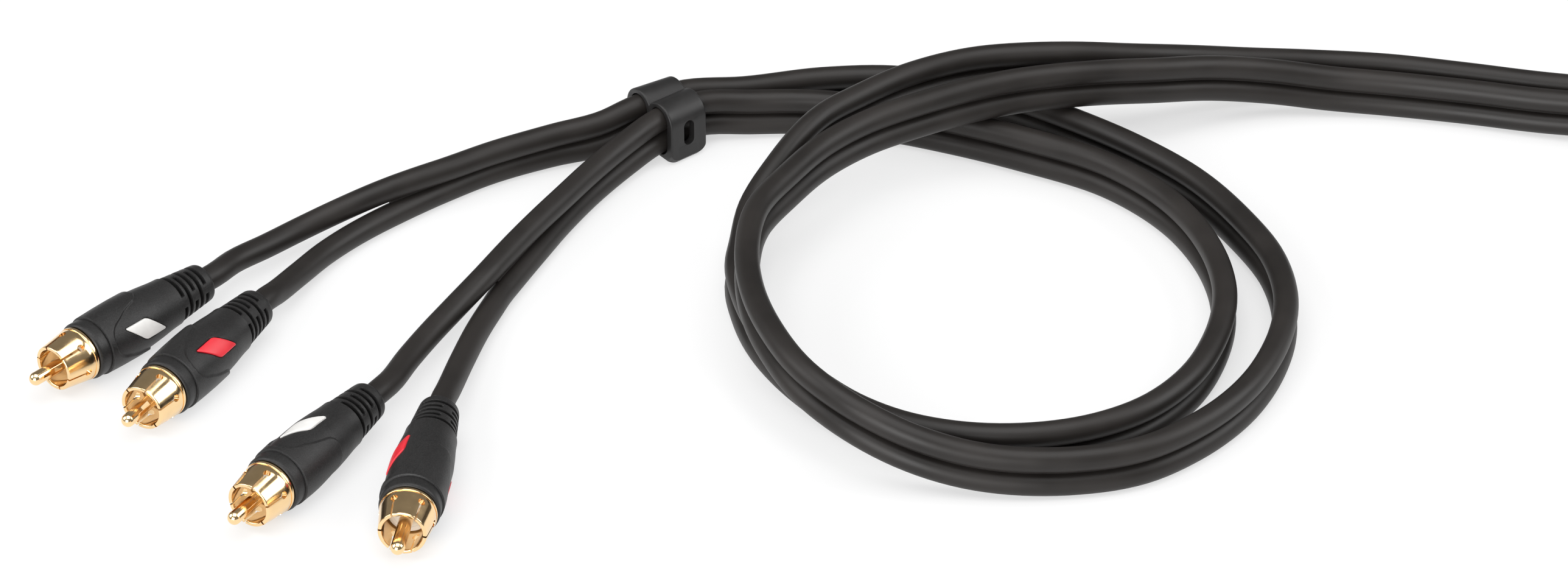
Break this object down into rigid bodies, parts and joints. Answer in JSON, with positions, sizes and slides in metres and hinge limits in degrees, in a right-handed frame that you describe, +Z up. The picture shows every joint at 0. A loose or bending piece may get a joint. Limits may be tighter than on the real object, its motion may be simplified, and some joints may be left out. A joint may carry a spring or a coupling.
{
  "type": "stereo audio cable",
  "caption": "Stereo audio cable of flat twin lead, split into single legs with gold-plated phono plugs marked white and red, looped once through a moulded keeper.",
  "frame": {"origin": "on the surface the lead lies on, below the middle of the box around the four plugs and the keeper", "axes": "+Z up from that surface, +X to the picture's right, +Y away from the camera"},
  "size_m": [0.4895, 0.2059, 0.0243],
  "materials": {
    "jacket": "black satin flexible jacket",
    "black_moulding": "black, fine spark-eroded grain, smooth front collar",
    "contact_gold": "polished gold plating",
    "insulator": "off-white, smooth",
    "white_marker": "warm white, semi-gloss",
    "red_marker": "red, semi-gloss",
    "tie_strap": "black woven strap"
  },
  "bodies": {
    "root": {"plug_1_housing": "black_moulding", "plug_1_shell": "contact_gold", "plug_1_pin": "contact_gold", "plug_1_insulator": "insulator", "plug_1_marker_left": "white_marker", "plug_1_marker_right": "white_marker", "plug_2_housing": "black_moulding", "plug_2_shell": "contact_gold", "plug_2_pin": "contact_gold", "plug_2_insulator": "insulator", "plug_2_marker_left": "red_marker", "plug_2_marker_right": "red_marker", "plug_3_housing": "black_moulding", "plug_3_shell": "contact_gold", "plug_3_pin": "contact_gold", "plug_3_insulator": "insulator", "plug_3_marker_left": "white_marker", "plug_3_marker_right": "white_marker", "plug_4_housing": "black_moulding", "plug_4_shell": "contact_gold", "plug_4_pin": "contact_gold", "plug_4_insulator": "insulator", "plug_4_marker_left": "red_marker", "plug_4_marker_right": "red_marker", "keeper_clip": "black_moulding", "leg_1": "jacket", "leg_2": "jacket", "leg_3": "jacket", "leg_4": "jacket", "twin_run_a": "jacket", "twin_run_b": "jacket", "twin_bight": "jacket", "cord_tie": "tie_strap"}
  },
  "joints": []
}
